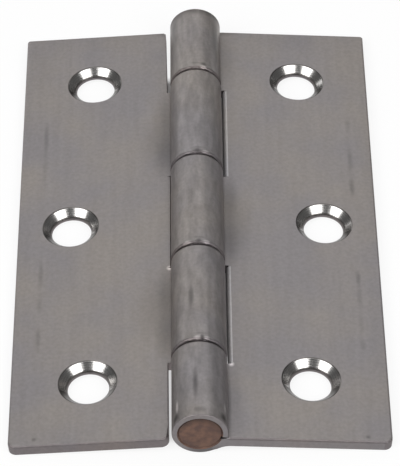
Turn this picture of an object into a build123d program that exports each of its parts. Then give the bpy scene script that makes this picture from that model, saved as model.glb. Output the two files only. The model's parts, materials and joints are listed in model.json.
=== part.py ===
from build123d import *
import os
from math import acos, asin, atan2, cos, degrees, hypot, sin

# A pressed steel butt hinge with a fast pin, lying on its back as it comes to rest.
# The pin runs along Y, the right leaf lies at +X and the surface under the hinge is Z = 0.

# Driving dimensions, in millimetres.
HINGE_LENGTH = 75.0          # both leaves and the barrel, along the pin
LEAF_REACH = 23.5            # pin axis to a leaf's outer edge
SHEET = 1.4                  # thickness of the steel strip
PIN_DIAMETER = 4.0
PIN_CLEARANCE = 0.05         # radial, between the pin and the bore of a knuckle
CLOSED_GAP = 1.3             # between the countersunk faces when the leaves are parallel
JOGGLE_RADIUS = 3.5          # middle of the strip, where it steps down from leaf to barrel
SEAM_GAP = 0.12              # height of the curl's tip above the leaf's face
END_KNUCKLE = 12.4           # length of the first and last knuckles
MIDDLE_KNUCKLES = 3          # knuckles of equal length between the end ones
KNUCKLE_GAP = 0.3            # along the pin, between neighbours
KNUCKLE_BREAK = 0.22         # bevel on the rim of each knuckle
NOTCH_CLEARANCE = 0.5        # barrel to the edge of the leaf that swings past it
CORNER_RADIUS = 1.0          # free corners of a leaf at the near end, seen from above
FAR_CORNER_RADIUS = 0.4      # the same at the far end, where the strip was cropped
EDGE_ROLL = 0.3              # rounding that the blanking tool leaves on the upper edges
HOLE_DIAMETER = 5.15         # screw hole at the back of the leaf
COUNTERSINK_DIAMETER = 7.3   # screw hole at the face, for 90 degree heads
END_HOLE_REACH = 13.9        # pin axis to the first and last screw holes
MIDDLE_HOLE_REACH = 16.6     # pin axis to the middle screw hole
HOLE_SPACING = 27.5          # middle screw hole to either end one, along the pin
END_BEVEL = 0.75             # 45 degree mouth of the end knuckles, which the riveted pin fills
RIVET_CLEARANCE = 0.03       # radial, between the pin's riveted end and that mouth
PIN_RECESS = 0.15            # pin's end below the end of the barrel
PIN_BREAK = 0.06             # bevel on the rim of the pin's ends

# Sizes that follow from them.
pin_radius = PIN_DIAMETER / 2
bore_radius = pin_radius + PIN_CLEARANCE
barrel_radius = bore_radius + SHEET
curl_radius = bore_radius + SHEET / 2
face_drop = CLOSED_GAP / 2
back_drop = face_drop + SHEET

# The middle of the strip leaves the curl at joggle_angle past the lowest point,
# and a bend the other way brings it level with the leaf.
joggle_span = curl_radius + JOGGLE_RADIUS
joggle_angle = acos(1 - (bore_radius - face_drop) / joggle_span)
joggle_reach = joggle_span * sin(joggle_angle)
joggle_height = -joggle_span * cos(joggle_angle)

# The flat of a leaf starts where it clears the other leaf's barrel.
flat_reach = max(joggle_reach, barrel_radius + NOTCH_CLEARANCE)

# The curl's tip stops just above its own leaf.
tip_angle = asin((face_drop - SEAM_GAP) / barrel_radius)

# At rest the barrel and both outer edges touch the surface, so each leaf tilts a little.
rest_tilt = asin(barrel_radius / hypot(LEAF_REACH, back_drop)) - atan2(back_drop, LEAF_REACH)


def knuckle_spans():
    """Ends of every knuckle along Y, from the near end to the far one."""
    pitch = (HINGE_LENGTH - 2 * END_KNUCKLE) / MIDDLE_KNUCKLES
    first_joint = END_KNUCKLE - HINGE_LENGTH / 2
    joints = [first_joint + pitch * index for index in range(MIDDLE_KNUCKLES + 1)]
    starts = [-HINGE_LENGTH / 2] + [joint + KNUCKLE_GAP / 2 for joint in joints]
    ends = [joint - KNUCKLE_GAP / 2 for joint in joints] + [HINGE_LENGTH / 2]
    return list(zip(starts, ends))


def strip_section():
    """The rolled strip cut across: a stub of the leaf, the joggle and the curl round the pin."""
    stub_reach = flat_reach + SHEET
    bend = degrees(joggle_angle)
    tip = degrees(tip_angle)
    curl = 360 - (90 - bend) + tip
    joggle_centre = (joggle_reach, joggle_height)
    face = Line((stub_reach, -face_drop), (joggle_reach, -face_drop))
    face_bend = CenterArc(joggle_centre, JOGGLE_RADIUS + SHEET / 2, 90, bend)
    bore = CenterArc((0, 0), bore_radius, bend - 90, -curl)
    barrel = CenterArc((0, 0), barrel_radius, bend - 90 - curl, curl)
    end = Line(bore @ 1, barrel @ 0)
    back_bend = CenterArc(joggle_centre, JOGGLE_RADIUS - SHEET / 2, 90 + bend, -bend)
    back = Line((joggle_reach, -back_drop), (stub_reach, -back_drop))
    root = Line((stub_reach, -back_drop), (stub_reach, -face_drop))
    return Plane.XZ * Face(Wire([face, face_bend, bore, end, barrel, back_bend, back, root]))


def knuckle(span):
    """One rolled knuckle with the strip that joins it to its leaf."""
    low, high = span
    solid = extrude(strip_section(), (high - low) / 2, both=True)
    rims = [
        edge
        for edge in solid.edges().filter_by(GeomType.CIRCLE)
        if abs(edge.radius - barrel_radius) < SHEET / 100
    ]
    return Pos(0, (low + high) / 2, 0) * chamfer(rims, KNUCKLE_BREAK)


def flat(free_ends):
    """The flat of a leaf, with rolled upper edges and its free corners rounded."""
    width = LEAF_REACH - flat_reach
    blank = Pos(flat_reach + width / 2, 0, -back_drop) * Rectangle(width, HINGE_LENGTH)
    for radius, row in ((CORNER_RADIUS, 0), (FAR_CORNER_RADIUS, -1)):
        corners = blank.vertices().group_by(Axis.Y)[row]
        blank = fillet(corners if free_ends else corners.sort_by(Axis.X)[-1:], radius)
    slab = extrude(blank, SHEET, dir=(0, 0, 1))
    upper_edges = slab.faces().sort_by(Axis.Z)[-1].edges().sort_by(Axis.X)
    return fillet(upper_edges[1:], EDGE_ROLL)


def screw_holes():
    """Three countersunk holes in a zigzag, open upwards."""
    hole_radius = HOLE_DIAMETER / 2
    countersink_radius = COUNTERSINK_DIAMETER / 2
    depth = countersink_radius - hole_radius
    places = [
        (END_HOLE_REACH, -HOLE_SPACING),
        (MIDDLE_HOLE_REACH, 0),
        (END_HOLE_REACH, HOLE_SPACING),
    ]
    tools = []
    for reach, along in places:
        tools.append(Pos(reach, along, -back_drop) * Cylinder(hole_radius, 2 * SHEET))
        tools.append(Pos(reach, along, -face_drop - depth / 2) * Cone(hole_radius, countersink_radius, depth))
    return tools


def barrel_mouths():
    """Bevelled mouths at both ends of the barrel."""
    mouth = Rot(-90, 0, 0) * Cone(bore_radius, bore_radius + END_BEVEL, END_BEVEL)
    far = Pos(0, (HINGE_LENGTH - END_BEVEL) / 2, 0) * mouth
    return [far, mirror(far, about=Plane.XZ)]


def leaf(spans):
    """A leaf with the knuckles at the given spans, level, with the pin axis on Y."""
    free_ends = spans[0][0] > -HINGE_LENGTH / 2
    solid = flat(free_ends)
    for span in spans:
        solid += knuckle(span)
    return solid - screw_holes()


def hinge_pin():
    """The pin, riveted over into the mouths at both ends of the barrel."""
    end = HINGE_LENGTH / 2 - PIN_RECESS
    mouth_radius = bore_radius + END_BEVEL - RIVET_CLEARANCE
    rivet_radius = mouth_radius - PIN_RECESS
    shank_end = HINGE_LENGTH / 2 - (mouth_radius - pin_radius)
    half = Polyline(
        (0, -end), (rivet_radius, -end), (pin_radius, -shank_end),
        (pin_radius, shank_end), (rivet_radius, end), (0, end), close=True,
    )
    pin = revolve(Face(Wire(half.edges())), Axis.Y)
    ends = pin.faces().sort_by(Axis.Y)
    return chamfer(ends[0].edges() + ends[-1].edges(), PIN_BREAK)


spans = knuckle_spans()
lift = Pos(0, 0, barrel_radius)
tilt = degrees(rest_tilt)
right_leaf = lift * Rot(0, tilt, 0) * (leaf(spans[0::2]) - barrel_mouths())
left_leaf = lift * Rot(0, -tilt, 0) * mirror(leaf(spans[1::2]), about=Plane.YZ)
nodes = {"right_leaf": right_leaf, "left_leaf": left_leaf, "hinge_pin": lift * hinge_pin()}

os.makedirs("parts", exist_ok=True)
for name, solid in nodes.items():
    export_step(solid, f"parts/{name}.step")
    print(name, round(solid.volume, 2), solid.bounding_box())
print("rest tilt", round(tilt, 3), "degrees; barrel radius", barrel_radius)
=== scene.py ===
# %% [markdown]
# # A pressed steel butt hinge
#
# This lesson dresses a small door hinge: two leaves pressed from steel strip, whose rolled
# knuckles interleave round one riveted pin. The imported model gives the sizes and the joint.
# Here each piece is modelled again with finer edges and gets the finish of the real steel.

# %% Load the frame
import json
from math import acos, asin, atan2, cos, degrees, hypot, pi, radians, sin, tan

import bmesh
import bpy
from mathutils import Matrix, Vector


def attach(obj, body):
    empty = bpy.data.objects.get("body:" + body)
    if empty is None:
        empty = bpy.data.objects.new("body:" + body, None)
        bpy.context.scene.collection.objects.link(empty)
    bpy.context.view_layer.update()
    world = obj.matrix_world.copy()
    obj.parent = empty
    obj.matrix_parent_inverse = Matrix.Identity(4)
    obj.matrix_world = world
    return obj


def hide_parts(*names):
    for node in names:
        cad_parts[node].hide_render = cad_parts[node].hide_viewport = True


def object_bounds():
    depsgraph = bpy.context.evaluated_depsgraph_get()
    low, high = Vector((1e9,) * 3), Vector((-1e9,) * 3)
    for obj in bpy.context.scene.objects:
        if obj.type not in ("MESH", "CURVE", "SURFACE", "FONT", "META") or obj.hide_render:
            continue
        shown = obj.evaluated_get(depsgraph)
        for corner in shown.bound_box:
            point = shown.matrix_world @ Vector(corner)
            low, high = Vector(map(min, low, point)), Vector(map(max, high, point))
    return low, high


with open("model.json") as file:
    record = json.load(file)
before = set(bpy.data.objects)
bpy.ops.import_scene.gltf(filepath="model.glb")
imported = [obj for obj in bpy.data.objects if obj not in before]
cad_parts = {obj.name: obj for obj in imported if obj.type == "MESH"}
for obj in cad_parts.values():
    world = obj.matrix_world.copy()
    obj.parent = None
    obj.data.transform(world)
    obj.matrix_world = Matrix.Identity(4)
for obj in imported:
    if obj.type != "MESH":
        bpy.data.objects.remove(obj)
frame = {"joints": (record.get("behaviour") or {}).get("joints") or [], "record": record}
cad_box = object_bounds()
MM = 0.001


def in_mm(box):
    """The corners of a box in millimetres, for printing."""
    return [[round(value / MM, 2) for value in corner] for corner in box]


print("CAD box in mm:", in_mm(cad_box))

# %% [markdown]
# ## Sizes
#
# The joint and the screw holes in the record place almost everything: the joint's height is
# the barrel's radius, because the barrel lies on the surface, and a hole's axis leans as its
# leaf does. Only the sheet, the pin and the small edge sizes are written here, in metres.

# %% Sizes from the frame and from the real hinge
SHEET = 1.4 * MM
PIN_RADIUS = 2.0 * MM
PIN_CLEARANCE = 0.05 * MM
FACE_DROP = 0.65 * MM
EDGE_ROLL = 0.3 * MM

barrel_radius = frame["joints"][0]["pos_m"][2]
bore_radius = PIN_RADIUS + PIN_CLEARANCE
half_length = cad_box[1].y
screws = [mount for mount in frame["record"]["mounts"] if mount["kind"] == "bore"]
tilt = asin(abs(screws[0]["axis"][0]))
leaf_reach = (cad_box[1].x + (FACE_DROP + EDGE_ROLL) * sin(tilt)) / cos(tilt)
print("leaf tilt", round(degrees(tilt), 2), "degrees, leaf reach", round(leaf_reach / MM, 2), "mm")

# %% [markdown]
# The strip bends twice on its way to the barrel: a joggle takes it down from the leaf, and
# the curl takes it under the pin, round it and back to just above its own leaf. Both bends
# are arcs that meet without a corner, so their angles follow from the radii. The barrel is
# shared out along the pin: two end knuckles, and three equal ones between them.

# %% Bends and knuckles
JOGGLE_RADIUS = 3.5 * MM
SEAM_GAP = 0.12 * MM
END_KNUCKLE = 12.4 * MM
MIDDLE_KNUCKLES = 3
KNUCKLE_GAP = 0.3 * MM

joggle_span = bore_radius + SHEET / 2 + JOGGLE_RADIUS
joggle_angle = acos(1 - (bore_radius - FACE_DROP) / joggle_span)
joggle_reach = joggle_span * sin(joggle_angle)
joggle_height = -joggle_span * cos(joggle_angle)
curl_angle = radians(270) + joggle_angle + asin((FACE_DROP - SEAM_GAP) / barrel_radius)

knuckle_pitch = (half_length - END_KNUCKLE) * 2 / MIDDLE_KNUCKLES
joints_along = [END_KNUCKLE - half_length + knuckle_pitch * index for index in range(MIDDLE_KNUCKLES + 1)]
knuckle_starts = [-half_length] + [along + KNUCKLE_GAP / 2 for along in joints_along]
knuckle_ends = [along - KNUCKLE_GAP / 2 for along in joints_along] + [half_length]
knuckles = list(zip(knuckle_starts, knuckle_ends))
print("joggle", round(degrees(joggle_angle), 1), "degrees, curl", round(degrees(curl_angle), 1), "degrees")

# %% [markdown]
# ## Working as by hand
#
# Every piece starts as a primitive and is shaped in edit mode. Operators act on what is
# selected, so one helper selects faces, edges or vertices by where they are, and another opens
# a new piece. Each piece is modelled level, with the pin's axis on Y, and laid down at the end.

# %% Helpers for edit mode
NEAR = 0.004 * MM


def start_piece(name, add_primitive, **settings):
    """Add a primitive with nothing else selected and open it in edit mode."""
    bpy.ops.object.select_all(action="DESELECT")
    add_primitive(**settings)
    piece = bpy.context.object
    piece.name = name
    bpy.ops.object.transform_apply(location=True, rotation=True, scale=True)
    bpy.ops.object.mode_set(mode="EDIT")
    return piece


def pick(piece, kind, wanted):
    """In edit mode, select the faces, edges or vertices that wanted() accepts."""
    bpy.ops.mesh.select_mode(type=kind)
    bpy.ops.mesh.select_all(action="DESELECT")
    mesh = bmesh.from_edit_mesh(piece.data)
    for part in {"FACE": mesh.faces, "EDGE": mesh.edges, "VERT": mesh.verts}[kind]:
        if wanted(part):
            part.select_set(True)
    bmesh.update_edit_mesh(piece.data)


def radius_of(vert):
    """Distance of a vertex from the pin's axis."""
    return hypot(vert.co.x, vert.co.z)


def middle_of(edge):
    """Middle of an edge."""
    return (edge.verts[0].co + edge.verts[1].co) / 2


print("places closer than", round(NEAR / MM, 4), "mm count as one")

# %% [markdown]
# ## The leaves
#
# A leaf is one piece of strip. On the press its blank is notched, then the tongues between
# the notches are joggled down and curled round a mandrel. The model follows the press: a
# plate is cut across at the knuckles' ends, and the faces of the tongues are spun once through
# the joggle and once round the pin. Spinning keeps the sheet's thickness, which a ring stuck
# on a plate wouldn't.

# %% Curl the tongues
JOGGLE_STEPS = 14
CURL_STEPS = 96
FLAT_ANGLE = radians(0.5)
# A face looks along an axis where its normal has at least this share of it.
FACING = 0.9


def in_spans(along, spans):
    """True where a place along the pin lies in one of the spans."""
    return any(low - NEAR < along < high + NEAR for low, high in spans)


def cut_across(place):
    """Cut the whole mesh across the pin at one place."""
    bpy.ops.mesh.select_all(action="SELECT")
    bpy.ops.mesh.bisect(plane_co=(0, place, 0), plane_no=(0, 1, 0))


def roll_tongues(leaf, spans):
    """Cut the plate across at the knuckles and curl its tongues round the pin."""
    for place in sorted({end for span in spans for end in span}):
        if abs(place) < half_length - NEAR:
            cut_across(place)
    pick(leaf, "FACE", lambda face: face.normal.x < -FACING
         and in_spans(face.calc_center_median().y, spans))
    bpy.ops.mesh.spin(steps=JOGGLE_STEPS, angle=joggle_angle, axis=(0, 1, 0),
                      center=(joggle_reach, 0, joggle_height))
    bpy.ops.mesh.spin(steps=CURL_STEPS, angle=-curl_angle, axis=(0, 1, 0), center=(0, 0, 0))
    bpy.ops.mesh.select_all(action="SELECT")
    bpy.ops.mesh.remove_doubles(threshold=NEAR)
    bpy.ops.mesh.dissolve_limited(angle_limit=FLAT_ANGLE)
    bpy.ops.mesh.normals_make_consistent(inside=False)


print("steps of joggle and curl:", JOGGLE_STEPS, CURL_STEPS)

# %% [markdown]
# ## Rounded edges
#
# A blanking tool drags the upper edge of the sheet down as it shears, so every edge that shows
# is rounded a little. The near corners are round and the far ones nearly square, the right
# leaf's notch edges are far rounder than the left one's, and the knuckles' rims are broken, so
# that the joints show. A bevel gives each of these its own radius.

# %% Round the edges
CORNER_RADIUS = 1.0 * MM
FAR_CORNER_RADIUS = 0.4 * MM
CORNER_STEPS = 8
ROLL_STEPS = 5
RIM_STEPS = 4
NOTCH_ROLL = 0.55 * MM
FREE_NOTCH_ROLL = 0.06 * MM
JOGGLE_ROLL = 0.7 * MM
RIM_ROUND = 0.28 * MM
END_ROUND = 0.2 * MM
# A face counts as a wall where its normal rises by less than this.
UPRIGHT = 0.5


def round_corners(leaf, free_ends):
    """Round the corners of the plate, seen from above."""
    reaches = [leaf_reach, joggle_reach] if free_ends else [leaf_reach]
    for radius, end in ((CORNER_RADIUS, -half_length), (FAR_CORNER_RADIUS, half_length)):
        pick(leaf, "EDGE", lambda edge: abs(edge.verts[0].co.z - edge.verts[1].co.z) > SHEET / 2
             and abs(middle_of(edge).y - end) < NEAR
             and any(abs(middle_of(edge).x - reach) < NEAR for reach in reaches))
        bpy.ops.mesh.bevel(offset=radius, segments=CORNER_STEPS, affect="EDGES")


def is_blanked(edge):
    """True for an edge between the plate's upper face and a wall that the tool cut."""
    place = middle_of(edge)
    on_face = abs(place.z + FACE_DROP) < NEAR and place.x > joggle_reach - NEAR
    return on_face and any(abs(face.normal.z) < UPRIGHT for face in edge.link_faces)


def in_joggle_end(edge):
    """True for the first edges of the joggle's upper face at either end of the hinge."""
    return all(
        abs(abs(vert.co.y) - half_length) < NEAR
        and joggle_reach - JOGGLE_ROLL < vert.co.x < joggle_reach + NEAR
        and abs(hypot(vert.co.x - joggle_reach, vert.co.z - joggle_height)
                - JOGGLE_RADIUS - SHEET / 2) < NEAR
        for vert in edge.verts)


def roll_edges(leaf, notch_roll):
    """Roll the blanked edges, and those of the notches by their own radius."""
    notch = joggle_reach + NEAR
    pick(leaf, "EDGE", lambda edge: is_blanked(edge) and middle_of(edge).x > notch
         or in_joggle_end(edge))
    bpy.ops.mesh.bevel(offset=EDGE_ROLL, segments=ROLL_STEPS, affect="EDGES")
    pick(leaf, "EDGE", lambda edge: is_blanked(edge) and middle_of(edge).x <= notch
         and edge.calc_length() > SHEET)
    bpy.ops.mesh.bevel(offset=notch_roll, segments=ROLL_STEPS, affect="EDGES")


def break_rims(leaf, spans):
    """Round the rims of the knuckles, those at the ends of the barrel less."""
    outer = half_length - NEAR
    rims = [end for span in spans for end in span if abs(end) < outer]
    for rounding, wanted in (
        (END_ROUND, lambda along: abs(along) > outer),
        (RIM_ROUND, lambda along: any(abs(along - rim) < NEAR for rim in rims)),
    ):
        pick(leaf, "EDGE", lambda edge: abs(edge.verts[0].co.y - edge.verts[1].co.y) < NEAR
             and all(abs(radius_of(vert) - barrel_radius) < NEAR and wanted(vert.co.y)
                     for vert in edge.verts))
        bpy.ops.mesh.bevel(offset=rounding, segments=RIM_STEPS, affect="EDGES")


print("edge roll", round(EDGE_ROLL / MM, 2), "mm, worn notch roll", round(NOTCH_ROLL / MM, 2), "mm")

# %% [markdown]
# ## Notches
#
# Each notch clears the other leaf's knuckle by a thin slit. The real slits aren't all alike:
# the notch edges stand nearer the barrel than the ends of the joggles do, and the free leaf's
# end notches are pinched at the near end and open at the far one. The edges are moved once
# they have been rounded. Before the rounding, cuts just short of a notch's corners hold the
# ends of its bevel, which would otherwise slide down the joggle, and they are dissolved after.

# %% Fit the notches
NOTCH_CORNER = 0.12 * MM
NOTCH_CREEP = 0.27 * MM
FREE_NOTCH_CREEP = 0.38 * MM
NOTCH_PINCH = 0.07 * MM
NOTCH_SKEW = 0.2 * MM


def notches(spans):
    """The notches between a leaf's knuckles, just short of their corners."""
    return [(before[1] + NOTCH_CORNER, after[0] - NOTCH_CORNER) for before, after in zip(spans, spans[1:])]


def hold_notches(spans):
    """Cut across where the bevels of the notches will end."""
    for low, high in notches(spans):
        cut_across(low)
        cut_across(high)


def creep_notches(leaf, spans, creep, roll):
    """Bring the notches' edges nearer to the barrel and clear away the cuts that held their ends."""
    for low, high in notches(spans):
        pick(leaf, "VERT", lambda vert: low - NEAR < vert.co.y < high + NEAR
             and joggle_reach - NEAR < vert.co.x < joggle_reach + roll + NEAR)
        bpy.ops.transform.translate(value=(-creep, 0, 0))
        pick(leaf, "EDGE", lambda edge: middle_of(edge).x > joggle_reach + SHEET and any(
            all(abs(vert.co.y - place) < NEAR for vert in edge.verts) for place in (low, high)))
        bpy.ops.mesh.dissolve_edges(use_verts=True)


def skew_end_notches(leaf):
    """Pinch the free leaf's near notch a little at its end and open its far one."""
    for end, radius, move in ((-1, CORNER_RADIUS, -NOTCH_PINCH), (1, FAR_CORNER_RADIUS, NOTCH_SKEW)):
        corner = radius + NEAR
        pick(leaf, "VERT", lambda vert: vert.co.y * end > half_length - corner
             and joggle_reach - NEAR < vert.co.x < joggle_reach + corner)
        bpy.ops.transform.translate(value=(move, 0, 0))


print("notches in the right and left leaf:", len(notches(knuckles[0::2])), len(notches(knuckles[1::2])))

# %% [markdown]
# ## Rims at the joints
#
# The rims at the joints aren't clean circles. They look upset, as rims are when knuckles are
# driven together: a shallow groove runs behind each rim on the near side of its knuckle, the
# steel between is raised here and there into a burr, and the rim itself wanders. Two cuts give
# the rings of vertices to move, and a small random shift with a fixed seed gives the wander.

# %% Upset the rims
BURR_INSET = 0.5 * MM
BURR_HEIGHT = 0.05 * MM
BURR_WIDTH = 6.0  # degrees to either side
GROOVE_DEPTH = 0.06 * MM
RIM_WANDER = 0.05 * MM
WANDER_SEED = 4


def scale_round_pin(change):
    """Move a selection on the barrel away from the pin's axis, or towards it."""
    share = 1 + change / barrel_radius
    bpy.ops.transform.resize(value=(share, 1, share), center_override=(0, 0, 0))


def burr_rims(leaf, burrs):
    """Groove, burr and roughen the rims, given as places along the pin with the burrs' angles."""
    for rim, angles in burrs.items():
        for inset in (BURR_INSET, 2 * BURR_INSET):
            pick(leaf, "FACE", lambda face: abs(face.calc_center_median().y - rim) < knuckle_pitch
                 and face.calc_center_median().y > rim
                 and all(abs(radius_of(vert) - barrel_radius) < NEAR for vert in face.verts))
            bpy.ops.mesh.bisect(plane_co=(0, rim + inset, 0), plane_no=(0, 1, 0))
        pick(leaf, "VERT", lambda vert: abs(vert.co.y - rim - 2 * BURR_INSET) < NEAR and vert.co.z > 0)
        scale_round_pin(-GROOVE_DEPTH)
        pick(leaf, "VERT", lambda vert: abs(vert.co.y - rim - BURR_INSET) < NEAR and any(
            abs(degrees(atan2(vert.co.x, vert.co.z)) - angle) < BURR_WIDTH for angle in angles))
        scale_round_pin(BURR_HEIGHT)
        pick(leaf, "VERT", lambda vert: rim - NEAR < vert.co.y < rim + RIM_ROUND + NEAR and vert.co.z > 0
             and radius_of(vert) > bore_radius + SHEET / 2)
        bpy.ops.transform.vertex_random(offset=RIM_WANDER, uniform=0.0, normal=0.0, seed=WANDER_SEED)


print("burrs stand", round(BURR_HEIGHT / MM, 3), "mm above the barrel")

# %% [markdown]
# Both leaves are modelled on the right and level, so one function makes them. They differ in
# which knuckles they carry: the right leaf has the two end ones and the middle one, and the
# left leaf, whose ends are free, has the two between.

# %% Make both leaves


def make_leaf(name, spans, burrs):
    """Model one leaf level and on the right, with the pin's axis on Y."""
    free_ends = abs(spans[0][0]) < half_length - NEAR
    notch_roll = FREE_NOTCH_ROLL if free_ends else NOTCH_ROLL
    notch_creep = FREE_NOTCH_CREEP if free_ends else NOTCH_CREEP
    width = leaf_reach - joggle_reach
    place = (joggle_reach + width / 2, 0, -FACE_DROP - SHEET / 2)
    leaf = start_piece(name, bpy.ops.mesh.primitive_cube_add, size=1, location=place,
                       scale=(width, 2 * half_length, SHEET))
    roll_tongues(leaf, spans)
    hold_notches(spans)
    round_corners(leaf, free_ends)
    roll_edges(leaf, notch_roll)
    break_rims(leaf, spans)
    creep_notches(leaf, spans, notch_creep, notch_roll)
    if free_ends:
        skew_end_notches(leaf)
    burr_rims(leaf, burrs)
    bpy.ops.object.mode_set(mode="OBJECT")
    return leaf


right_burrs = {knuckles[4][0]: [16], knuckles[2][0]: [-26, 17]}
left_burrs = {knuckles[3][0]: [-27], knuckles[1][0]: [-2, -20]}
right_leaf = make_leaf("right_leaf_steel", knuckles[0::2], right_burrs)
left_leaf = make_leaf("left_leaf_steel", knuckles[1::2], left_burrs)
print("leaf faces:", len(right_leaf.data.polygons), len(left_leaf.data.polygons))

# %% [markdown]
# ## Countersunk holes
#
# The holes are drilled and countersunk after pressing, so they cut clean through the finished
# sheet. A cutter is drawn as the tool is: a shank, then a cone that keeps opening past the
# face. The lip at the cone's foot is rounded and its rim is flatter, as wear leaves them, so the
# cutter's profile has those corners too. A Boolean modifier takes it from the leaf.

# %% Helpers for cutting
COUNTERSINK_RADIUS = 3.65 * MM
LIP_ROUND = 0.3 * MM
LIP_STEPS = 4
RIM_DEPTH = 0.08 * MM
RIM_SLOPE = radians(30)
CONE_HOLD = 0.05 * MM
CUTTER_SIDES = 96
CUTTER_RUN = 0.4 * MM


def level_place(screw):
    """Reach from the pin's axis and place along it of a screw hole, as on a level leaf."""
    x, y, z = screw["pos_m"]
    return abs(x) * cos(tilt) - (z - barrel_radius) * sin(tilt), y


def cutter_profile(hole_radius):
    """Radius and height of the countersink's cutter upward from its shank, with worn corners."""
    lip = Vector((hole_radius, hole_radius - COUNTERSINK_RADIUS - FACE_DROP))
    below = lip - Vector((0, LIP_ROUND))
    slope = Vector((1, 1)).normalized()
    above = lip + slope * LIP_ROUND
    shares = [step / LIP_STEPS for step in range(LIP_STEPS + 1)]
    points = [below.lerp(lip, share).lerp(lip.lerp(above, share), share) for share in shares]
    rim = Vector((COUNTERSINK_RADIUS - RIM_DEPTH, -FACE_DROP - RIM_DEPTH))
    flare = Vector((1 / tan(RIM_SLOPE), 1)) * (RIM_DEPTH + CUTTER_RUN)
    return points + [above + slope * CONE_HOLD, rim - slope * CONE_HOLD, rim, rim + flare]


def cut_away(leaf, cutter):
    """Turn the cutter's faces outward, take it from the leaf and throw it away."""
    bpy.ops.mesh.select_all(action="SELECT")
    bpy.ops.mesh.normals_make_consistent(inside=False)
    bpy.ops.object.mode_set(mode="OBJECT")
    cut = leaf.modifiers.new("Cut", "BOOLEAN")
    cut.operation = "DIFFERENCE"
    cut.solver = "EXACT"
    cut.object = cutter
    bpy.context.view_layer.objects.active = leaf
    bpy.ops.object.modifier_apply(modifier=cut.name)
    bpy.data.objects.remove(cutter)


print("countersink", round(2 * COUNTERSINK_RADIUS / MM, 2), "mm across at the face")

# %% [markdown]
# The cutter is extruded upward from a disc, ring by ring, each ring spread to its own radius.
# A second, shorter cone opens the bore at both ends of the barrel, where the pin is riveted.

# %% Drill the leaves and open the barrel's ends
MOUTH_BEVEL = 0.75 * MM

back_drop = FACE_DROP + SHEET


def drill(leaf, screw):
    """Cut one countersunk hole."""
    reach, along = level_place(screw)
    hole_radius = screw["dims"]["r_mm"] * MM
    last = Vector((hole_radius, -back_drop - CUTTER_RUN))
    cutter = start_piece("cutter", bpy.ops.mesh.primitive_circle_add, vertices=CUTTER_SIDES,
                         radius=hole_radius, fill_type="NGON", location=(reach, along, last.y))
    bpy.ops.mesh.select_all(action="SELECT")
    for point in cutter_profile(hole_radius):
        bpy.ops.mesh.extrude_region_move(TRANSFORM_OT_translate={"value": (0, 0, point.y - last.y)})
        spread = point.x / last.x
        bpy.ops.transform.resize(value=(spread, spread, 1), center_override=(reach, along, 0))
        last = point
    cut_away(leaf, cutter)


def open_mouth(leaf, end):
    """Bevel the bore at one end of the barrel, where the pin will be riveted over."""
    low_radius = bore_radius - CUTTER_RUN
    depth = MOUTH_BEVEL + 2 * CUTTER_RUN
    cutter = start_piece("cutter", bpy.ops.mesh.primitive_circle_add, vertices=CUTTER_SIDES,
                         radius=low_radius, fill_type="NGON", rotation=(radians(90), 0, 0),
                         location=(0, end * (half_length - MOUTH_BEVEL - CUTTER_RUN), 0))
    bpy.ops.mesh.select_all(action="SELECT")
    bpy.ops.mesh.extrude_region_move(TRANSFORM_OT_translate={"value": (0, end * depth, 0)})
    spread = (low_radius + depth) / low_radius
    bpy.ops.transform.resize(value=(spread, 1, spread), center_override=(0, 0, 0))
    cut_away(leaf, cutter)


for screw in screws:
    drill(right_leaf if screw["pos_m"][0] > 0 else left_leaf, screw)
open_mouth(right_leaf, -1)
open_mouth(right_leaf, 1)
print("holes drilled:", len(screws))

# %% [markdown]
# ## The pin
#
# The pin is a length of wire, cropped and then riveted over at both ends so that it fills the
# bevelled mouths of the barrel. A cylinder is enough for the shank; each end is extruded and
# spread into its mouth, and an inset ring with a slightly raised middle keeps the hammered face.

# %% Make the pin
PIN_SIDES = 96
PIN_RECESS = 0.15 * MM
RIVET_CLEARANCE = 0.03 * MM
RIVET_ROUND = 0.05 * MM
FACE_RING = 0.45 * MM
FACE_CROWN = 0.08 * MM

mouth_radius = bore_radius + MOUTH_BEVEL - RIVET_CLEARANCE
rivet_radius = mouth_radius - PIN_RECESS
shank_half = half_length - (mouth_radius - PIN_RADIUS)
rivet_run = half_length - PIN_RECESS - shank_half
spread = rivet_radius / PIN_RADIUS
pin = start_piece("hinge_pin_steel", bpy.ops.mesh.primitive_cylinder_add, vertices=PIN_SIDES,
                  radius=PIN_RADIUS, depth=2 * shank_half, rotation=(radians(90), 0, 0))
for end in (-1, 1):
    pick(pin, "FACE", lambda face: face.normal.y * end > FACING)
    bpy.ops.mesh.extrude_region_move(TRANSFORM_OT_translate={"value": (0, end * rivet_run, 0)})
    bpy.ops.transform.resize(value=(spread, 1, spread), center_override=(0, 0, 0))
    bpy.ops.mesh.inset(thickness=RIVET_ROUND)
    bpy.ops.transform.translate(value=(0, end * RIVET_ROUND, 0))
    bpy.ops.mesh.inset(thickness=FACE_RING)
    bpy.ops.transform.translate(value=(0, end * FACE_CROWN, 0))
    bpy.ops.mesh.inset(thickness=FACE_RING)
bpy.ops.object.mode_set(mode="OBJECT")
print("pin faces:", len(pin.data.polygons))

# %% [markdown]
# ## Laying the pieces down
#
# The level pieces are turned to the angle at which they rest and lifted until the barrel
# touches the surface. The left leaf was modelled on the right, so it is mirrored first, and
# its normals are recalculated because a negative scale turns a mesh inside out. Doubles are
# merged and any small hole that the cuts left is filled. The place then goes into the mesh,
# each piece replaces its CAD node and rides on that node's body.

# %% Place the pieces and tie them to their bodies
SMOOTH_ANGLE = radians(28)
SLIVER = NEAR / 10
SLIVER_SIDES = 8


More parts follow.
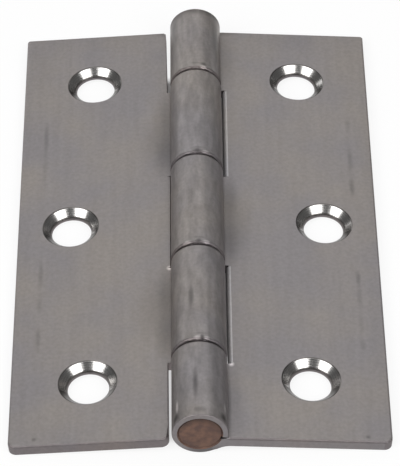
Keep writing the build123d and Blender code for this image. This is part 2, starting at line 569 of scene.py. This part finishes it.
def lay_down(piece, side, lean):
    """Mirror, turn and lift a level piece, then bake its place into its mesh."""
    bpy.ops.object.select_all(action="DESELECT")
    piece.select_set(True)
    bpy.context.view_layer.objects.active = piece
    piece.scale.x = side
    bpy.ops.object.transform_apply(location=True, rotation=True, scale=True)
    bpy.ops.object.mode_set(mode="EDIT")
    bpy.ops.mesh.select_all(action="SELECT")
    bpy.ops.mesh.remove_doubles(threshold=SLIVER)
    bpy.ops.mesh.fill_holes(sides=SLIVER_SIDES)
    bpy.ops.mesh.normals_make_consistent(inside=False)
    bpy.ops.object.mode_set(mode="OBJECT")
    piece.rotation_euler.y = side * lean
    piece.location.z = barrel_radius
    bpy.ops.object.transform_apply(location=True, rotation=True, scale=True)
    bpy.ops.object.shade_smooth_by_angle(angle=SMOOTH_ANGLE)


for piece, side, lean, node, body, finish in (
    (right_leaf, 1, tilt, "right_leaf", "fixed_leaf", "leaf_steel"),
    (left_leaf, -1, tilt, "left_leaf", "swinging_leaf", "leaf_steel"),
    (pin, 1, 0, "hinge_pin", "fixed_leaf", "pin_steel"),
):
    lay_down(piece, side, lean)
    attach(piece, body)
    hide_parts(node)
    print(piece.name, "triangles:", sum(len(face.vertices) - 2 for face in piece.data.polygons))

# %% [markdown]
# ## Colours and nodes
#
# Colours are written as sRGB hex values, as they look on a screen, and one function turns
# them to the linear values that shaders use. One more adds a node, its settings and its links.

# %% Helpers for materials


def linear(hex_colour):
    """Linear RGBA of an sRGB hex colour such as 8a8685, by the sRGB standard's curve."""
    channels = [int(hex_colour[index:index + 2], 16) / 255 for index in (0, 2, 4)]
    return [value / 12.92 if value <= 0.04045 else ((value + 0.055) / 1.055) ** 2.4
            for value in channels] + [1]


def add_node(tree, kind, inputs=None, **settings):
    """Add a node, set its properties and fill its inputs with values or linked sockets."""
    node = tree.nodes.new(kind)
    for name, value in settings.items():
        setattr(node, name, value)
    for socket, source in (inputs or {}).items():
        if isinstance(source, bpy.types.NodeSocket):
            tree.links.new(source, node.inputs[socket])
        else:
            node.inputs[socket].default_value = source
    return node


def new_material(name):
    """A material with nodes: the material, its tree and its shader."""
    material = bpy.data.materials.new(name)
    material.use_nodes = True
    return material, material.node_tree, material.node_tree.nodes["Principled BSDF"]


print("a mid grey in linear light:", [round(value, 3) for value in linear("8a8685")])

# %% [markdown]
# ## Wear and shade on the steel
#
# The hinge has marks, and painted shade and highlights that the studio lamps alone don't give.
# Both could be painted in a picture, but soft spots on Object coordinates need no picture and
# move with their piece. Each has a place, a reach along X, Y and Z, both in millimetres, and the
# share of light that it takes, where a negative share gives light. On the barrel they are dark
# lines along the top, dark spots and painted highlights at the near end, painted shade at the far
# end and a painted sheen along the right flank.

# %% Marks on the barrel


def on_barrel(angle, along):
    """A place on the barrel in mm: degrees right of its top and distance along the pin."""
    radius = barrel_radius / MM
    return (radius * sin(radians(angle)), along, radius * (1 + cos(radians(angle))))


crown_lines = [
    ((-0.93, -17.7, 6.8), (0.52, 2.7, 1.4), 0.42),
    ((-0.50, -32.3, 6.8), (0.46, 3.4, 1.4), 0.45),
    ((-1.32, 18.9, 6.6), (0.30, 3.0, 1.0), 0.08),
]
# Darker spots round the near end, and in the last two rows painted highlights on both flanks.
near_end_spots_and_painted_highlights = [
    ((0.0, -36.5, 6.9), (1.0, 0.7, 1.0), 0.30),
    ((-2.9, -36.6, 5.4), (0.7, 0.9, 1.0), 0.65),
    ((2.9, -36.6, 5.4), (0.7, 0.9, 1.0), 0.65),
    ((-2.74, -35.0, 5.55), (0.28, 1.3, 0.5), -1.2),
    ((3.05, -34.9, 5.05), (0.24, 1.1, 0.5), -0.7),
]
# Painted shade at the far end, with one small painted lighter spot on the barrel's top.
far_end_shade = [
    ((0.0, 37.5, 3.45), (8.0, 1.6, 8.0), 0.6),
    (on_barrel(4, 34.8), (2.6, 3.0, 2.0), -0.14),
    (on_barrel(52, 33.5), (0.9, 9.0, 1.5), 0.45),
    (on_barrel(-58, 33.5), (1.0, 9.0, 1.8), 0.3),
]
# A painted sheen: a paler band along the right flank, where the barrel would catch the light.
right_flank_painted_sheen = []
for along, reach, share in ((14.0, 10.0, -0.22), (-1.0, 9.0, -0.15), (-18.0, 10.0, -0.22)):
    right_flank_painted_sheen.append((on_barrel(33, along), (0.9, reach, 1.0), share))
barrel_marks = crown_lines + near_end_spots_and_painted_highlights + far_end_shade + right_flank_painted_sheen
print("marks on the barrel:", len(barrel_marks))

# %% [markdown]
# Where two knuckles meet there are dark flecks on the rims and painted glints of light on them,
# and the barrel is darker on both flanks at every joint and in a thin line behind each rim. The
# flecks and glints run over the rim, so its own metal gets them too. They are listed one by one,
# and the darker patches are alike at every joint.

# %% Marks at the joints
JOINT_PLACES = (25.1, 8.37, -8.37, -25.1)

joint_flecks_and_painted_glints = []
# Painted glints of light on the rims.
for angle, along in ((18, 25.45), (22, 8.7), (-23, -8.0), (20, -8.0), (-4, -24.75), (17, -24.75)):
    joint_flecks_and_painted_glints.append((on_barrel(angle, along), (0.7, 0.45, 0.6), -0.75))
# Dark flecks on the rims.
for angle, along, reach in ((19, 26.1, 0.6), (2, 8.9, 0.8), (2, -7.9, 0.55), (7, -24.65, 0.4)):
    joint_flecks_and_painted_glints.append((on_barrel(angle, along), (reach, 0.6, 0.6), 0.5))

joint_darkening = []
for along in JOINT_PLACES:
    # Darker patches on both flanks at every joint.
    joint_darkening.append((on_barrel(-38, along), (1.1, 0.8, 0.9), 0.5))
    joint_darkening.append((on_barrel(38, along), (0.9, 0.75, 0.9), 0.5))
    # A thin line of painted shade behind each rim, over its shallow groove.
    joint_darkening.append((on_barrel(5, along + 1.15), (1.5, 0.3, 0.6), 0.22))
print("marks and smudges at the joints:", len(joint_flecks_and_painted_glints), len(joint_darkening))

# %% [markdown]
# The leaves are cleaner. Short scuffs lie in a row near each outer edge, there is a dark speck near
# two corners, and two painted highlights sit at corners of the notches. The leaves also look darker
# beside the barrel, which is mostly shade: it is painted here, so it stays where it is under any
# light. A scuff is given as its place along the pin, its reach and its share, and a tongue's shade as
# its place and its share.

# %% Marks on the leaves
SCUFF_HEIGHT = 1.6
SCUFF_WIDTH = 0.5
SCUFF_ROWS = {
    -20.2: [(17.0, 4.5, 0.19), (11.5, 4.5, 0.08), (-8.5, 3.2, 0.17), (-13.8, 2.4, 0.12), (-19.6, 3.2, 0.18)],
    20.5: [(19.0, 2.0, 0.11), (12.3, 3.5, 0.17), (6.9, 2.6, 0.26), (-9.8, 1.8, 0.26),
           (-13.0, 3.0, 0.12), (-18.0, 3.0, 0.1), (-21.4, 1.6, 0.14)],
}
# Painted shade along each tongue, beside the barrel.
TONGUE_PLACE = 4.2
TONGUE_HEIGHT = 2.6
TONGUE_REACH = (1.6, 6.0, 1.4)
RIGHT_TONGUES = [(-33.0, 0.08), (-29.0, 0.08), (-4.0, 0.2), (4.0, 0.2), (29.0, 0.1), (33.0, 0.1)]
LEFT_TONGUES = [(-20.7, 0.18), (-12.7, 0.18), (12.7, 0.18), (20.7, 0.18)]

leaf_marks = [
    ((-20.2, -36.4, 1.6), (0.42, 0.45, 1.0), 0.32),
    ((20.4, -36.7, 1.6), (0.42, 0.45, 1.0), 0.32),
    # Two painted highlights at corners of the notches.
    ((-3.65, -8.55, 2.6), (0.5, 0.55, 0.8), -1.8),
    ((3.98, -25.3, 2.6), (0.5, 0.55, 0.8), -1.8),
    # Painted shade on the leaves beside the barrel.
    ((-3.6, 15.0, 2.6), (5.0, 8.5, 2.0), 0.22),
    ((-4.2, -16.2, 2.6), (5.0, 9.0, 2.2), 0.2),
    ((4.0, -0.8, 2.6), (4.2, 9.5, 2.0), 0.22),
    ((3.55, -31.5, 2.9), (0.5, 7.5, 1.0), 0.35),
]
for across, scuffs in SCUFF_ROWS.items():
    for along, reach, share in scuffs:
        leaf_marks.append(((across, along, SCUFF_HEIGHT), (SCUFF_WIDTH, reach, 1.0), share))
for across, tongues in ((TONGUE_PLACE, RIGHT_TONGUES), (-TONGUE_PLACE, LEFT_TONGUES)):
    for along, share in tongues:
        leaf_marks.append(((across, along, TONGUE_HEIGHT), TONGUE_REACH, share))
print("marks on the leaves:", len(leaf_marks))

# %% [markdown]
# ## Rolled mild steel
#
# Cold rolled strip left in its own colour is a matt, neutral grey metal. Its film of oil and
# oxide is uneven over several millimetres, a little warmer in one place and cooler in another.
# The rolls leave a grain and drawn streaks, and curling has stretched the skin of the barrel,
# so that it is blotched along the pin. All of these could be painted by hand, but noise on
# Object coordinates gives them at their real sizes, and squeezing it along Y draws them out.

# %% Blotches and marks
PER_MM = 1 / MM
BLOTCH_SIZE = 0.8
BLOTCH_SQUEEZE = (1, 0.3, 1)
BARREL_FADE = 0.2 * MM
# A mark is full within this share of its reach.
MARK_CORE = 0.1
# Most of a noise lies in this span.
NOISE_SPAN = {"From Min": 0.3, "From Max": 0.7}


def add_blotches(tree, place, shade, strength):
    """Shade made uneven on the barrel, in blotches drawn out along the pin."""
    apart = add_node(tree, "ShaderNodeSeparateXYZ", {"Vector": place})
    off = add_node(tree, "ShaderNodeMath", {0: apart.outputs["X"]}, operation="ABSOLUTE")
    on_curl = add_node(tree, "ShaderNodeMapRange", {
        "Value": off.outputs["Value"],
        "From Min": barrel_radius + BARREL_FADE, "From Max": barrel_radius - BARREL_FADE})
    drawn = add_node(tree, "ShaderNodeVectorMath", {0: place, 1: BLOTCH_SQUEEZE}, operation="MULTIPLY")
    blotch = add_node(tree, "ShaderNodeTexNoise", {
        "Vector": drawn.outputs["Vector"], "Scale": PER_MM / BLOTCH_SIZE, "Detail": 3})
    swing = add_node(tree, "ShaderNodeMapRange", {
        "Value": blotch.outputs["Fac"], **NOISE_SPAN, "To Min": -strength, "To Max": strength})
    uneven = add_node(tree, "ShaderNodeMath", {
        0: on_curl.outputs["Result"], 1: swing.outputs["Result"], 2: 1.0}, operation="MULTIPLY_ADD")
    return add_node(tree, "ShaderNodeMath", {
        0: shade, 1: uneven.outputs["Value"]}, operation="MULTIPLY").outputs["Value"]


def add_marks(tree, place, shade, marks):
    """Shade with every mark's share of light taken from it."""
    for centre, reach, share in marks:
        local = add_node(tree, "ShaderNodeMapping", {
            "Vector": place, "Location": Vector(centre) * MM, "Scale": Vector(reach) * MM},
            vector_type="TEXTURE")
        away = add_node(tree, "ShaderNodeVectorMath", {0: local.outputs["Vector"]}, operation="LENGTH")
        taken = add_node(tree, "ShaderNodeMapRange", {
            "Value": away.outputs["Value"], "From Min": 1.0, "From Max": MARK_CORE, "To Max": share},
            interpolation_type="SMOOTHSTEP")
        left = add_node(tree, "ShaderNodeMath", {0: 1.0, 1: taken.outputs["Result"]}, operation="SUBTRACT")
        shade = add_node(tree, "ShaderNodeMath", {
            0: shade, 1: left.outputs["Value"]}, operation="MULTIPLY").outputs["Value"]
    return shade


print("blotches", BLOTCH_SIZE, "mm wide and", round(BLOTCH_SIZE / BLOTCH_SQUEEZE[1], 1), "mm long")

# %% [markdown]
# One function makes every kind of rolled strip on the hinge, because its faces, its sheared
# edges, its hammered rims and its worn edges differ only in colour, gloss and marks.

# %% Rolled steel
# Sizes in mm. Real grain and streaks are finer, and these are as coarse as they need to show.
CLOUD_SIZE = 9.0
GRAIN_SIZE = 0.45
STREAK_SIZE = 0.8
STREAK_SQUEEZE = (1, 0.06, 1)
FILM_SPAN = {"From Min": 0.35, "From Max": 0.65}
GRAIN_SHADE = {"To Min": 0.91, "To Max": 1.08}
STREAK_SHADE = {"To Min": 0.97, "To Max": 1.03}
ROUGH_SWING = 0.04
GRAIN_BUMP = 0.15
GRAIN_DEPTH = 0.03 * MM


def rolled_steel(name, warm, cool, roughness, metallic=1.0, marks=(), blotches=0.0):
    """Matt rolled strip with a cloudy film, drawn streaks, a fine grain and a few marks."""
    material, tree, shader = new_material(name)
    place = add_node(tree, "ShaderNodeTexCoord").outputs["Object"]
    cloud = add_node(tree, "ShaderNodeTexNoise", {
        "Vector": place, "Scale": PER_MM / CLOUD_SIZE, "Detail": 3})
    film = add_node(tree, "ShaderNodeMapRange", {"Value": cloud.outputs["Fac"], **FILM_SPAN})
    tint = add_node(tree, "ShaderNodeMix", {
        "Factor": film.outputs["Result"], "A": linear(warm), "B": linear(cool)}, data_type="RGBA")
    grain = add_node(tree, "ShaderNodeTexNoise", {
        "Vector": place, "Scale": PER_MM / GRAIN_SIZE, "Detail": 2})
    grey = add_node(tree, "ShaderNodeMapRange", {
        "Value": grain.outputs["Fac"], **NOISE_SPAN, **GRAIN_SHADE})
    drawn = add_node(tree, "ShaderNodeVectorMath", {0: place, 1: STREAK_SQUEEZE}, operation="MULTIPLY")
    streak = add_node(tree, "ShaderNodeTexNoise", {
        "Vector": drawn.outputs["Vector"], "Scale": PER_MM / STREAK_SIZE, "Detail": 2})
    lines = add_node(tree, "ShaderNodeMapRange", {
        "Value": streak.outputs["Fac"], **NOISE_SPAN, **STREAK_SHADE})
    shade = add_node(tree, "ShaderNodeMath", {
        0: grey.outputs["Result"], 1: lines.outputs["Result"]}, operation="MULTIPLY").outputs["Value"]
    if blotches:
        shade = add_blotches(tree, place, shade, blotches)
    shade = add_marks(tree, place, shade, marks)
    colour = add_node(tree, "ShaderNodeMix", {
        "Factor": 1.0, "A": tint.outputs["Result"], "B": shade},
        data_type="RGBA", blend_type="MULTIPLY")
    matt = add_node(tree, "ShaderNodeMapRange", {
        "Value": grain.outputs["Fac"], **NOISE_SPAN,
        "To Min": roughness - ROUGH_SWING, "To Max": roughness + ROUGH_SWING})
    bump = add_node(tree, "ShaderNodeBump", {
        "Height": grain.outputs["Fac"], "Strength": GRAIN_BUMP, "Distance": GRAIN_DEPTH})
    tree.links.new(colour.outputs["Result"], shader.inputs["Base Color"])
    tree.links.new(matt.outputs["Result"], shader.inputs["Roughness"])
    tree.links.new(bump.outputs["Normal"], shader.inputs["Normal"])
    shader.inputs["Metallic"].default_value = metallic
    return material


# The rolled face is a quiet grey that mirrors nothing and only grows lighter towards the light.
# Its marks include painted shade and painted highlights as well as real marks.
leaf_steel = rolled_steel("rolled_mild_steel", "9b9591", "949091", 0.5,
                          marks=barrel_marks + joint_flecks_and_painted_glints + joint_darkening + leaf_marks, blotches=0.15)

# A sheared edge is torn and matt, so a darker line goes round the leaf. The rounded edges that face
# the front get this darker steel too, which is painted shade there.
# Painted light on the end wall of the left leaf's near notch, which lies in the barrel's shade.
painted_light_on_notch_wall = [((-3.9, -25.0, 2.0), (1.2, 0.6, 1.6), -0.9)]
edge_steel_and_shade = rolled_steel("blanked_steel_edge", "827a78", "7d787a", 0.55, marks=joint_flecks_and_painted_glints + painted_light_on_notch_wall)

# The barrel's hammered end is duller than the rolled face, and darkest underneath.
end_shade = [((0.6, -37.5, 0.3), (3.4, 1.0, 1.5), 0.4)]
rim_steel = rolled_steel("peened_steel_rim", "8b8584", "868284", 0.55, marks=end_shade)

# The right leaf's notch edges get this paler steel, a painted highlight, so they show as thin
# light lines.
highlight_edge_steel = rolled_steel("worn_steel_edge", "c4bfbb", "bebcbe", 0.45, metallic=0.5)
print("steels:", leaf_steel.name, edge_steel_and_shade.name, rim_steel.name, highlight_edge_steel.name)

# %% [markdown]
# ## Turned steel of the countersinks
#
# The countersink's cutter leaves bare metal, far smoother than the rolled skin, with faint
# rings round the hole. It works as a small mirror and shows the lights and the dark between
# them. The rings could be cut as grooves, but those would need very many faces, so a bump
# gives them. They follow each hole's axis, and the distance from it is kept in the mesh.

# %% Turned steel
# A real cutter's rings are finer, and these are as coarse as they need to show.
RING_PITCH = 0.22 * MM
RING_BUMP = 0.1
RING_DEPTH = 0.01 * MM
RING_POLISH = 0.06


def turned_steel(name, colour, roughness):
    """Bare turned metal with faint rings from the cutter."""
    material, tree, shader = new_material(name)
    ring = add_node(tree, "ShaderNodeAttribute", attribute_name="turning")
    turns = add_node(tree, "ShaderNodeMath", {
        0: ring.outputs["Fac"], 1: 2 * pi / RING_PITCH}, operation="MULTIPLY")
    wave = add_node(tree, "ShaderNodeMath", {0: turns.outputs["Value"]}, operation="SINE")
    bump = add_node(tree, "ShaderNodeBump", {
        "Height": wave.outputs["Value"], "Strength": RING_BUMP, "Distance": RING_DEPTH})
    polish = add_node(tree, "ShaderNodeMapRange", {
        "Value": wave.outputs["Value"], "From Min": -1.0, "From Max": 1.0,
        "To Min": roughness, "To Max": roughness + RING_POLISH})
    tree.links.new(bump.outputs["Normal"], shader.inputs["Normal"])
    tree.links.new(polish.outputs["Result"], shader.inputs["Roughness"])
    shader.inputs["Base Color"].default_value = linear(colour)
    shader.inputs["Metallic"].default_value = 1.0
    return material


# The bare cone flashes white where it mirrors a light and falls to near black beside it.
bright_steel = turned_steel("turned_bright_steel", "bab8b6", 0.18)

# A dull, dark copy of the turned steel is painted shade on the lip, the rim and the near wall of a hole.
painted_shade_turned_steel = turned_steel("oiled_turned_steel", "6a6765", 0.3)
print("rings every", round(RING_PITCH / MM, 2), "mm on", bright_steel.name, "and", painted_shade_turned_steel.name)

# %% [markdown]
# ## The riveted pin's end
#
# The hammered end of the wire is bare and has taken a thin brown film of rust. Hammering
# leaves it mottled. Painted shade darkens it towards the rim, most at the top, under the barrel's
# lip. Noise gives the mottle its colour and its dents at once, and the painted shade follows the
# distance from a point below the axis.

# %% Browned pin steel
RUST_SIZE = 0.9  # mm
RUST_BUMP = 0.3
RUST_DEPTH = 0.06 * MM
PIN_SHADE_START = 2.3 * MM
PIN_SHADE_END = 3.2 * MM
PIN_SHADE_SHARE = 0.6
PIN_SHADE_DROP = 0.7 * MM


def browned_steel(name):
    """Cropped wire with a thin brown film, mottled by hammering."""
    material, tree, shader = new_material(name)
    place = add_node(tree, "ShaderNodeTexCoord").outputs["Object"]
    mottle = add_node(tree, "ShaderNodeTexNoise", {
        "Vector": place, "Scale": PER_MM / RUST_SIZE, "Detail": 4})
    film = add_node(tree, "ShaderNodeMapRange", {"Value": mottle.outputs["Fac"], **FILM_SPAN})
    rust = add_node(tree, "ShaderNodeMix", {
        "Factor": film.outputs["Result"], "A": linear("6e5244"), "B": linear("564039")}, data_type="RGBA")
    centred = add_node(tree, "ShaderNodeVectorMath", {
        0: place, 1: (0, 0, barrel_radius - PIN_SHADE_DROP)}, operation="SUBTRACT")
    flat = add_node(tree, "ShaderNodeVectorMath", {
        0: centred.outputs["Vector"], 1: (1, 0, 1)}, operation="MULTIPLY")
    away = add_node(tree, "ShaderNodeVectorMath", {0: flat.outputs["Vector"]}, operation="LENGTH")
    # Painted shade, darker towards the rim and most at the top, under the barrel's lip.
    rim_shade = add_node(tree, "ShaderNodeMapRange", {
        "Value": away.outputs["Value"], "From Min": PIN_SHADE_START, "From Max": PIN_SHADE_END, "To Max": PIN_SHADE_SHARE})
    colour = add_node(tree, "ShaderNodeMix", {
        "Factor": rim_shade.outputs["Result"], "A": rust.outputs["Result"], "B": linear("2e2320")},
        data_type="RGBA")
    bump = add_node(tree, "ShaderNodeBump", {
        "Height": mottle.outputs["Fac"], "Strength": RUST_BUMP, "Distance": RUST_DEPTH})
    tree.links.new(colour.outputs["Result"], shader.inputs["Base Color"])
    tree.links.new(bump.outputs["Normal"], shader.inputs["Normal"])
    shader.inputs["Roughness"].default_value = 0.6
    shader.inputs["Metallic"].default_value = 0.35
    return material


# Rust takes the shine away, so the end is a warm matt brown against the grey barrel.
pin_steel = browned_steel("browned_wire_steel")
pin.data.materials.append(pin_steel)
print("pin:", pin_steel.name)

# %% [markdown]
# ## Which metal goes where
#
# A leaf shows seven skins: rolled faces, blanked edges, turned cones, notch edges with a painted
# highlight, the barrel's peened ends, the browned mouths round the pin and the holes' lips, rims
# and near walls in painted shade.
# By hand one would pick the faces and assign a material slot. Here they are sorted by where
# they are and which way they look: along is a normal's share along the pin, upward its share
# along the leaf's own upright, and across a face's distance from the nearest hole's axis.

# %% Sort the faces
# Shares of a face's normal, upward from the leaf or along the pin, that part one skin from another.
WALL = 0.3
SLANT = 0.9
ROUNDED = 0.995
CONE_UP = cos(radians(45))
CONE_MARGIN = 0.05
NEAR_WALL = 0.2
MOUTH_STEEP = 0.5
END_FACING = 0.05

skins = {
    "rolled": leaf_steel, "blanked": edge_steel_and_shade, "turned": bright_steel, "worn": highlight_edge_steel,
    "peened": rim_steel, "browned": pin_steel, "oiled": painted_shade_turned_steel,
}


def barrel_skin(place, along):
    """Skin of a face of the barrel, or None where it is like the rest of the leaf."""
    to_end = half_length - abs(place.y)
    radius = hypot(place.x, place.z)
    if min(abs(place.y - joint) for joint in joints_along) < KNUCKLE_GAP / 2 + RIM_ROUND:
        return "blanked"
    if to_end < MOUTH_BEVEL and radius < bore_radius + MOUTH_BEVEL and MOUTH_STEEP < abs(along) < SLANT:
        return "browned"
    if to_end < END_ROUND and abs(along) > END_FACING:
        return "peened"
    return None


def plate_skin(place, along, upward, across, paints_notch_highlight):
    """Skin of any other face, by its place, its slopes and its distance from a hole's axis."""
    if across < COUNTERSINK_RADIUS + RIM_DEPTH and WALL < upward < SLANT and place.x > joggle_reach + SHEET:
        # The lip, the rim and the near wall of a hole take the darker copy: painted shade.
        return "turned" if abs(upward - CONE_UP) < CONE_MARGIN and along < NEAR_WALL else "oiled"
    # Faces that lean towards the front take the blanked skin up to a far steeper slope, so the rounded near
    # edges carry painted shade.
    steep = upward < (SLANT if along < -WALL else WALL)
    if steep and (place.x > joggle_reach - FREE_NOTCH_CREEP - NEAR or abs(along) > SLANT):
        return "blanked"
    notch_edge = joggle_reach - NOTCH_CREEP - NEAR < place.x < joggle_reach + NOTCH_ROLL
    # The right leaf's notch edges get the paler steel, a painted highlight.
    return "worn" if paints_notch_highlight and notch_edge and upward < ROUNDED else "rolled"


print("skins:", list(skins))

# %% [markdown]
# The sorting is written for a level leaf on the right, so each laid leaf's tilt is undone, and
# the left one is mirrored back, before a face is judged. The distance from the nearest hole's
# axis is stored on the vertices as well, because the rings of the turned steel follow it.

# %% Dress the leaves


def levelled(point, side):
    """A point of a laid leaf as on the level leaf on the right."""
    x = side * point.x
    z = point.z - barrel_radius
    return Vector((x * cos(tilt) - z * sin(tilt), point.y, x * sin(tilt) + z * cos(tilt)))


def dress_leaf(leaf, side, spans):
    """Give each face of a leaf its metal and store the turning radius."""
    for metal in skins.values():
        leaf.data.materials.append(metal)
    holes = [Vector(level_place(screw)) for screw in screws if screw["pos_m"][0] * side > 0]
    turning = leaf.data.attributes.new("turning", "FLOAT", "POINT")
    for vert in leaf.data.vertices:
        place = levelled(vert.co, side)
        turning.data[vert.index].value = min((place.xy - hole).length for hole in holes)
    counts = dict.fromkeys(skins, 0)
    up = Matrix.Rotation(side * tilt, 3, "Y") @ Vector((0, 0, 1))
    for face in leaf.data.polygons:
        place = levelled(face.center, side)
        across = min((place.xy - hole).length for hole in holes)
        # Only the right leaf's notches carry the painted highlight.
        paints_notch_highlight = side > 0 and not in_spans(place.y, spans)
        skin = plate_skin(place, face.normal.y, abs(up.dot(face.normal)), across, paints_notch_highlight)
        if place.x < barrel_radius:
            skin = barrel_skin(place, face.normal.y) or skin
        face.material_index = list(skins).index(skin)
        counts[skin] += 1
    print(leaf.name, counts)


dress_leaf(right_leaf, 1, knuckles[0::2])
dress_leaf(left_leaf, -1, knuckles[1::2])

# %% [markdown]
# ## Floor
#
# The hinge lies on a plain white board. Camera and mirror rays see most of the board lit up
# to white, and the share of plain diffuse white that is left keeps the soft shadow. In a strip
# under the barrel the board is hardly lit up, so that the notches over it look dark. Beside that
# strip, where the screw holes are, and under the slits at both ends it clears to white.

# %% White board
FLOOR_SIZE = 4.0
LIT_SHARE = 0.85
DIM_SHARE = 0.04
# Axis, where the clearing starts and where it is complete in mm, and how clear it gets.
CLEARINGS = [
    ("X", -4.5, -6.5, 1.0),
    ("X", 6.0, 8.0, 1.0),
    ("Y", -21.0, -23.5, 0.68),
    ("Y", -33.0, -36.0, 1.0),
    ("Y", 29.5, 31.0, 1.0),
]


def white_board(name):
    """White for the camera and for reflections, with some plain diffuse white for the shadow."""
    material, tree, shader = new_material(name)
    shader.inputs["Base Color"].default_value = linear("f2f2f2")
    shader.inputs["Roughness"].default_value = 0.9
    path = add_node(tree, "ShaderNodeLightPath")
    direct = add_node(tree, "ShaderNodeMath", {
        0: path.outputs["Is Camera Ray"], 1: path.outputs["Is Glossy Ray"]}, operation="MAXIMUM")
    seen = add_node(tree, "ShaderNodeMath", {
        0: direct.outputs["Value"], 1: path.outputs["Is Transmission Ray"]}, operation="MAXIMUM")
    place = add_node(tree, "ShaderNodeTexCoord").outputs["Object"]
    apart = add_node(tree, "ShaderNodeSeparateXYZ", {"Vector": place})
    clear = DIM_SHARE
    for axis, start, stop, most in CLEARINGS:
        past = add_node(tree, "ShaderNodeMapRange", {
            "Value": apart.outputs[axis], "From Min": start * MM, "From Max": stop * MM, "To Max": most})
        clear = add_node(tree, "ShaderNodeMath", {
            0: clear, 1: past.outputs["Result"]}, operation="MAXIMUM").outputs["Value"]
    share = add_node(tree, "ShaderNodeMath", {0: clear, 1: LIT_SHARE}, operation="MULTIPLY")
    lit = add_node(tree, "ShaderNodeMath", {
        0: seen.outputs["Value"], 1: share.outputs["Value"]}, operation="MULTIPLY")
    glow = add_node(tree, "ShaderNodeEmission", {"Color": linear("ffffff"), "Strength": 1.0})
    mixed = add_node(tree, "ShaderNodeMixShader", {
        0: lit.outputs["Value"], 1: shader.outputs["BSDF"], 2: glow.outputs["Emission"]})
    tree.links.new(mixed.outputs["Shader"], tree.nodes["Material Output"].inputs["Surface"])
    return material


bpy.ops.object.select_all(action="DESELECT")
bpy.ops.mesh.primitive_plane_add(size=FLOOR_SIZE)
floor = bpy.context.object
floor.name = "white_floor"
# Painted board is matt and white, so nothing but the hinge and its shadow draws the eye.
floor.data.materials.append(white_board("white_board"))
print("floor", FLOOR_SIZE, "m wide, of", floor.data.materials[0].name)

# %% [markdown]
# ## Light
#
# Metal shows what is round it, so the lights are placed by what mirrors them. Two panels
# stand either side of the camera, and the countersinks show them as two bright patches with a
# dark stripe between. The flat leaves and the barrel's top mirror the wide panels at the back,
# and a panel overhead and a faint room fill the rest.

# %% Light panels
# Place in m, width and height in m, and power in W.
PANELS = {
    "panel_left": ((-0.474, -0.357, 0.535), (0.48, 0.44), 3.6),
    "panel_right": ((0.397, -0.441, 0.535), (0.50, 0.44), 3.0),
    "panel_back": ((0.12, 0.62, 0.64), (1.04, 0.7), 2.2),
    "panel_back_left": ((-0.49, 0.63, 0.30), (0.42, 0.42), 0.75),
    "panel_top": ((0.0, -0.1, 0.9), (0.8, 0.8), 1.6),
}
ROOM_LIGHT = 0.12

for name, (place, (width, height), power) in PANELS.items():
    bpy.ops.object.light_add(type="AREA", location=place)
    panel = bpy.context.object
    panel.name = name
    panel.data.shape = "RECTANGLE"
    panel.data.size = width
    panel.data.size_y = height
    panel.data.energy = power
    panel.rotation_euler = (-Vector(place)).to_track_quat("-Z", "Y").to_euler()

world = bpy.data.worlds.new("soft_room")
bpy.context.scene.world = world
world.use_nodes = True
room = world.node_tree.nodes["Background"]
room.inputs["Color"].default_value = linear("ffffff")
room.inputs["Strength"].default_value = ROOM_LIGHT
print("panels:", len(PANELS), "with", round(sum(panel[2] for panel in PANELS.values()), 2), "W in all")

# %% [markdown]
# ## Camera
#
# The camera stands in front of the hinge and looks down at about 45 degrees from 0.37 m,
# through a long lens, with its horizon turned by less than a degree.

# %% Camera
CAMERA_PLACE = Vector((0.401, -262.385, 261.976)) * MM
CAMERA_AIM = Vector((0.315, 0.33, 0.0)) * MM
CAMERA_ROLL = radians(-0.798)
LENS = 218.8
SENSOR = 36
CLIP_START = 0.01

bpy.ops.object.camera_add(location=CAMERA_PLACE)
camera = bpy.context.object
camera.name = "photo_camera"
camera.data.lens = LENS
camera.data.sensor_width = SENSOR
camera.data.clip_start = CLIP_START
look = (CAMERA_AIM - CAMERA_PLACE).to_track_quat("-Z", "Y").to_matrix().to_4x4()
camera.matrix_world = Matrix.Translation(CAMERA_PLACE) @ look @ Matrix.Rotation(CAMERA_ROLL, 4, "Z")
bpy.context.scene.camera = camera
bpy.context.scene.view_settings.view_transform = "Standard"
print("camera", round((CAMERA_AIM - CAMERA_PLACE).length, 3), "m away, lens", LENS, "mm")
